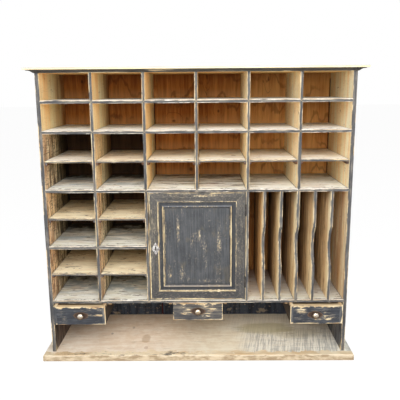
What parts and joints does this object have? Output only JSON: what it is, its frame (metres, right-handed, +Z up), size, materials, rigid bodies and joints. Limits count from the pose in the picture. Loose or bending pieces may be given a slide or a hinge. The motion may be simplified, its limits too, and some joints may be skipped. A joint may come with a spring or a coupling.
{
  "type": "pigeonhole mail sorter",
  "caption": "Desktop pigeonhole cabinet with fixed and loose shelves, a locking cupboard door, upright slots and small drawers hung over a desk space.",
  "frame": {"origin": "centre of the bounding box's footprint, on the surface the base board stands on, at the rest pose", "axes": "+X to the right seen from the front, +Y from front to back, +Z up"},
  "size_m": [1.218, 0.411, 1.1165],
  "materials": {
    "base_wood": "worn bare wood, pale and greyed",
    "painted_wood": "slate paint, rubbed through at the arrises",
    "shelf_wood": "bare aged pine, painted front edge",
    "cap_wood": "pale bare wood",
    "back_wood": "dark aged planks",
    "cleat_wood": "dark aged strips",
    "drawer_paint": "blue-black paint with rubbed edges",
    "drawer_wood": "dark aged wood",
    "hinge_steel": "darkened steel",
    "white_metal": "white metal, a little worn",
    "lock_steel": "dull steel",
    "lock_brass": "dull brass",
    "nickel": "polished nickel"
  },
  "bodies": {
    "carcass": {"base_board": "base_wood", "side_panel_left": "painted_wood", "side_panel_right": "painted_wood", "top_board": "shelf_wood", "cornice_cap": "cap_wood", "cornice_moulding_front": "painted_wood", "cornice_moulding_left": "painted_wood", "cornice_moulding_right": "painted_wood", "bottom_board": "shelf_wood", "left_shelf": "shelf_wood", "main_shelf": "shelf_wood", "lower_shelf": "shelf_wood", "upper_shelf": "shelf_wood", "shelf_cleats": "cleat_wood", "back_planks": "back_wood", "drawer_runners": "cleat_wood", "hinge_leaves_carcass": "hinge_steel", "hinge_pins": "hinge_steel", "divider_1": "shelf_wood", "divider_2": "shelf_wood", "divider_3": "shelf_wood", "divider_4": "shelf_wood", "divider_5": "shelf_wood", "slot_divider_1": "shelf_wood", "slot_divider_2": "shelf_wood", "slot_divider_3": "shelf_wood", "slot_divider_4": "shelf_wood", "slot_divider_5": "shelf_wood"},
    "door": {"door_stile_left": "painted_wood", "door_stile_right": "painted_wood", "door_rail_top": "painted_wood", "door_rail_bottom": "painted_wood", "door_panel": "painted_wood", "door_moulding": "painted_wood", "escutcheon": "white_metal", "hinge_leaves_door": "hinge_steel", "lock_case": "lock_steel"},
    "lock_bolt": {"lock_bolt": "lock_brass"},
    "drawer_left": {"drawer_left_front": "drawer_paint", "drawer_left_box": "drawer_wood", "drawer_left_bottom": "drawer_wood", "drawer_left_knob": "nickel"},
    "drawer_centre": {"drawer_centre_front": "drawer_paint", "drawer_centre_box": "drawer_wood", "drawer_centre_bottom": "drawer_wood", "drawer_centre_knob": "nickel"},
    "drawer_right": {"drawer_right_front": "drawer_paint", "drawer_right_box": "drawer_wood", "drawer_right_bottom": "drawer_wood", "drawer_right_knob": "nickel"},
    "loose_shelf_r3_c1": {"loose_shelf_r3_c1": "shelf_wood"},
    "loose_shelf_r3_c2": {"loose_shelf_r3_c2": "shelf_wood"},
    "loose_shelf_r3_c3": {"loose_shelf_r3_c3": "shelf_wood"},
    "loose_shelf_r3_c4": {"loose_shelf_r3_c4": "shelf_wood"},
    "loose_shelf_r3_c5": {"loose_shelf_r3_c5": "shelf_wood"},
    "loose_shelf_r3_c6": {"loose_shelf_r3_c6": "shelf_wood"},
    "loose_shelf_r5_c1": {"loose_shelf_r5_c1": "shelf_wood"},
    "loose_shelf_r5_c2": {"loose_shelf_r5_c2": "shelf_wood"},
    "loose_shelf_r7_c1": {"loose_shelf_r7_c1": "shelf_wood"},
    "loose_shelf_r7_c2": {"loose_shelf_r7_c2": "shelf_wood"}
  },
  "joints": [
    {"name": "door_hinge", "type": "hinge", "parent": "carcass", "child": "door", "pos_m": [0.18213, -0.1633, 0.45225], "axis": [0, 0, 1], "range_deg": [0, 175]},
    {"name": "lock_bolt_slide", "type": "slide", "parent": "door", "child": "lock_bolt", "axis": [-1, 0, 0], "range_m": [0, 0.007]},
    {"name": "drawer_left_slide", "type": "slide", "parent": "carcass", "child": "drawer_left", "axis": [0, -1, 0], "range_m": [-0.038, 0.182]},
    {"name": "drawer_centre_slide", "type": "slide", "parent": "carcass", "child": "drawer_centre", "axis": [0, -1, 0], "range_m": [0, 0.22]},
    {"name": "drawer_right_slide", "type": "slide", "parent": "carcass", "child": "drawer_right", "axis": [0, -1, 0], "range_m": [-0.038, 0.182]},
    {"name": "loose_shelf_r3_c1_slide", "type": "slide", "parent": "carcass", "child": "loose_shelf_r3_c1", "axis": [0, -1, 0], "range_m": [0, 0.17]},
    {"name": "loose_shelf_r3_c2_slide", "type": "slide", "parent": "carcass", "child": "loose_shelf_r3_c2", "axis": [0, -1, 0], "range_m": [0, 0.17]},
    {"name": "loose_shelf_r3_c3_slide", "type": "slide", "parent": "carcass", "child": "loose_shelf_r3_c3", "axis": [0, -1, 0], "range_m": [0, 0.17]},
    {"name": "loose_shelf_r3_c4_slide", "type": "slide", "parent": "carcass", "child": "loose_shelf_r3_c4", "axis": [0, -1, 0], "range_m": [0, 0.17]},
    {"name": "loose_shelf_r3_c5_slide", "type": "slide", "parent": "carcass", "child": "loose_shelf_r3_c5", "axis": [0, -1, 0], "range_m": [0, 0.17]},
    {"name": "loose_shelf_r3_c6_slide", "type": "slide", "parent": "carcass", "child": "loose_shelf_r3_c6", "axis": [0, -1, 0], "range_m": [0, 0.17]},
    {"name": "loose_shelf_r5_c1_slide", "type": "slide", "parent": "carcass", "child": "loose_shelf_r5_c1", "axis": [0, -1, 0], "range_m": [0, 0.17]},
    {"name": "loose_shelf_r5_c2_slide", "type": "slide", "parent": "carcass", "child": "loose_shelf_r5_c2", "axis": [0, -1, 0], "range_m": [0, 0.17]},
    {"name": "loose_shelf_r7_c1_slide", "type": "slide", "parent": "carcass", "child": "loose_shelf_r7_c1", "axis": [0, -1, 0], "range_m": [0, 0.17]},
    {"name": "loose_shelf_r7_c2_slide", "type": "slide", "parent": "carcass", "child": "loose_shelf_r7_c2", "axis": [0, -1, 0], "range_m": [0, 0.17]}
  ]
}
